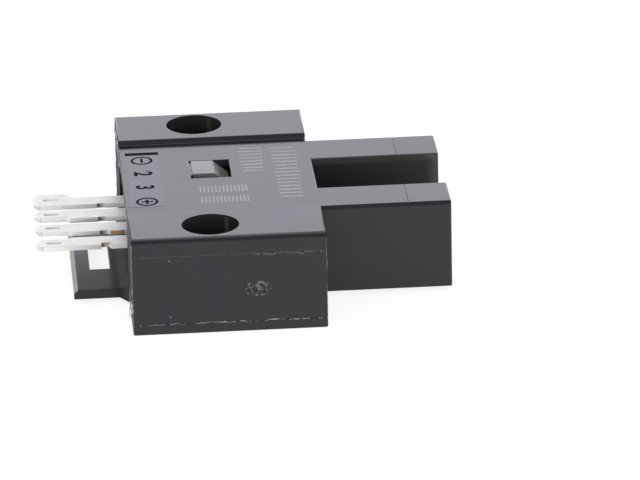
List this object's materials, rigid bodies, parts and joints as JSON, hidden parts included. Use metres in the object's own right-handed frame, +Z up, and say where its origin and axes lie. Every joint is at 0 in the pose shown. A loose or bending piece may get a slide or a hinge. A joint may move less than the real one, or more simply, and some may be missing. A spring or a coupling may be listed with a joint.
{
  "type": "slotted optical switch",
  "caption": "Fork-shaped light barrier in a black moulded housing with two screw flanges, flat plug-in terminals, a latch lug and a small indicator window.",
  "frame": {"origin": "middle of the box around the whole part, at the height of the undersides of the screw flanges", "axes": "+X from the terminals toward the fork's tips, +Y across the slot from the receiver arm to the emitter arm, +Z up out of the marked face"},
  "size_m": [0.0248, 0.0216, 0.006],
  "materials": {
    "housing_black": "fine moulded satin",
    "cover_black": "fine moulded satin",
    "window_infrared": "polished, dark, passes infrared",
    "light_guide": "translucent milky",
    "terminal_tin": "bright tin plate on copper alloy",
    "board_green": "solder resist",
    "emitter_blue": "cast resin",
    "receiver_black": "cast resin",
    "lead_metal": "tinned",
    "led_orange": "cast resin",
    "chip_black": "moulded epoxy",
    "capacitor_brown": "ceramic"
  },
  "bodies": {
    "root": {"housing": "housing_black", "base_cover": "cover_black", "emitter_window": "window_infrared", "receiver_window": "window_infrared", "indicator_lens": "light_guide", "terminal_1": "terminal_tin", "terminal_2": "terminal_tin", "terminal_3": "terminal_tin", "terminal_4": "terminal_tin", "circuit_board": "board_green", "infrared_emitter": "emitter_blue", "light_receiver": "receiver_black", "emitter_lead_1": "lead_metal", "emitter_lead_2": "lead_metal", "receiver_lead_1": "lead_metal", "receiver_lead_2": "lead_metal", "receiver_lead_3": "lead_metal", "indicator_led": "led_orange", "output_transistor": "chip_black", "resistor_1": "chip_black", "resistor_2": "chip_black", "resistor_3": "chip_black", "capacitor": "capacitor_brown"}
  },
  "joints": []
}
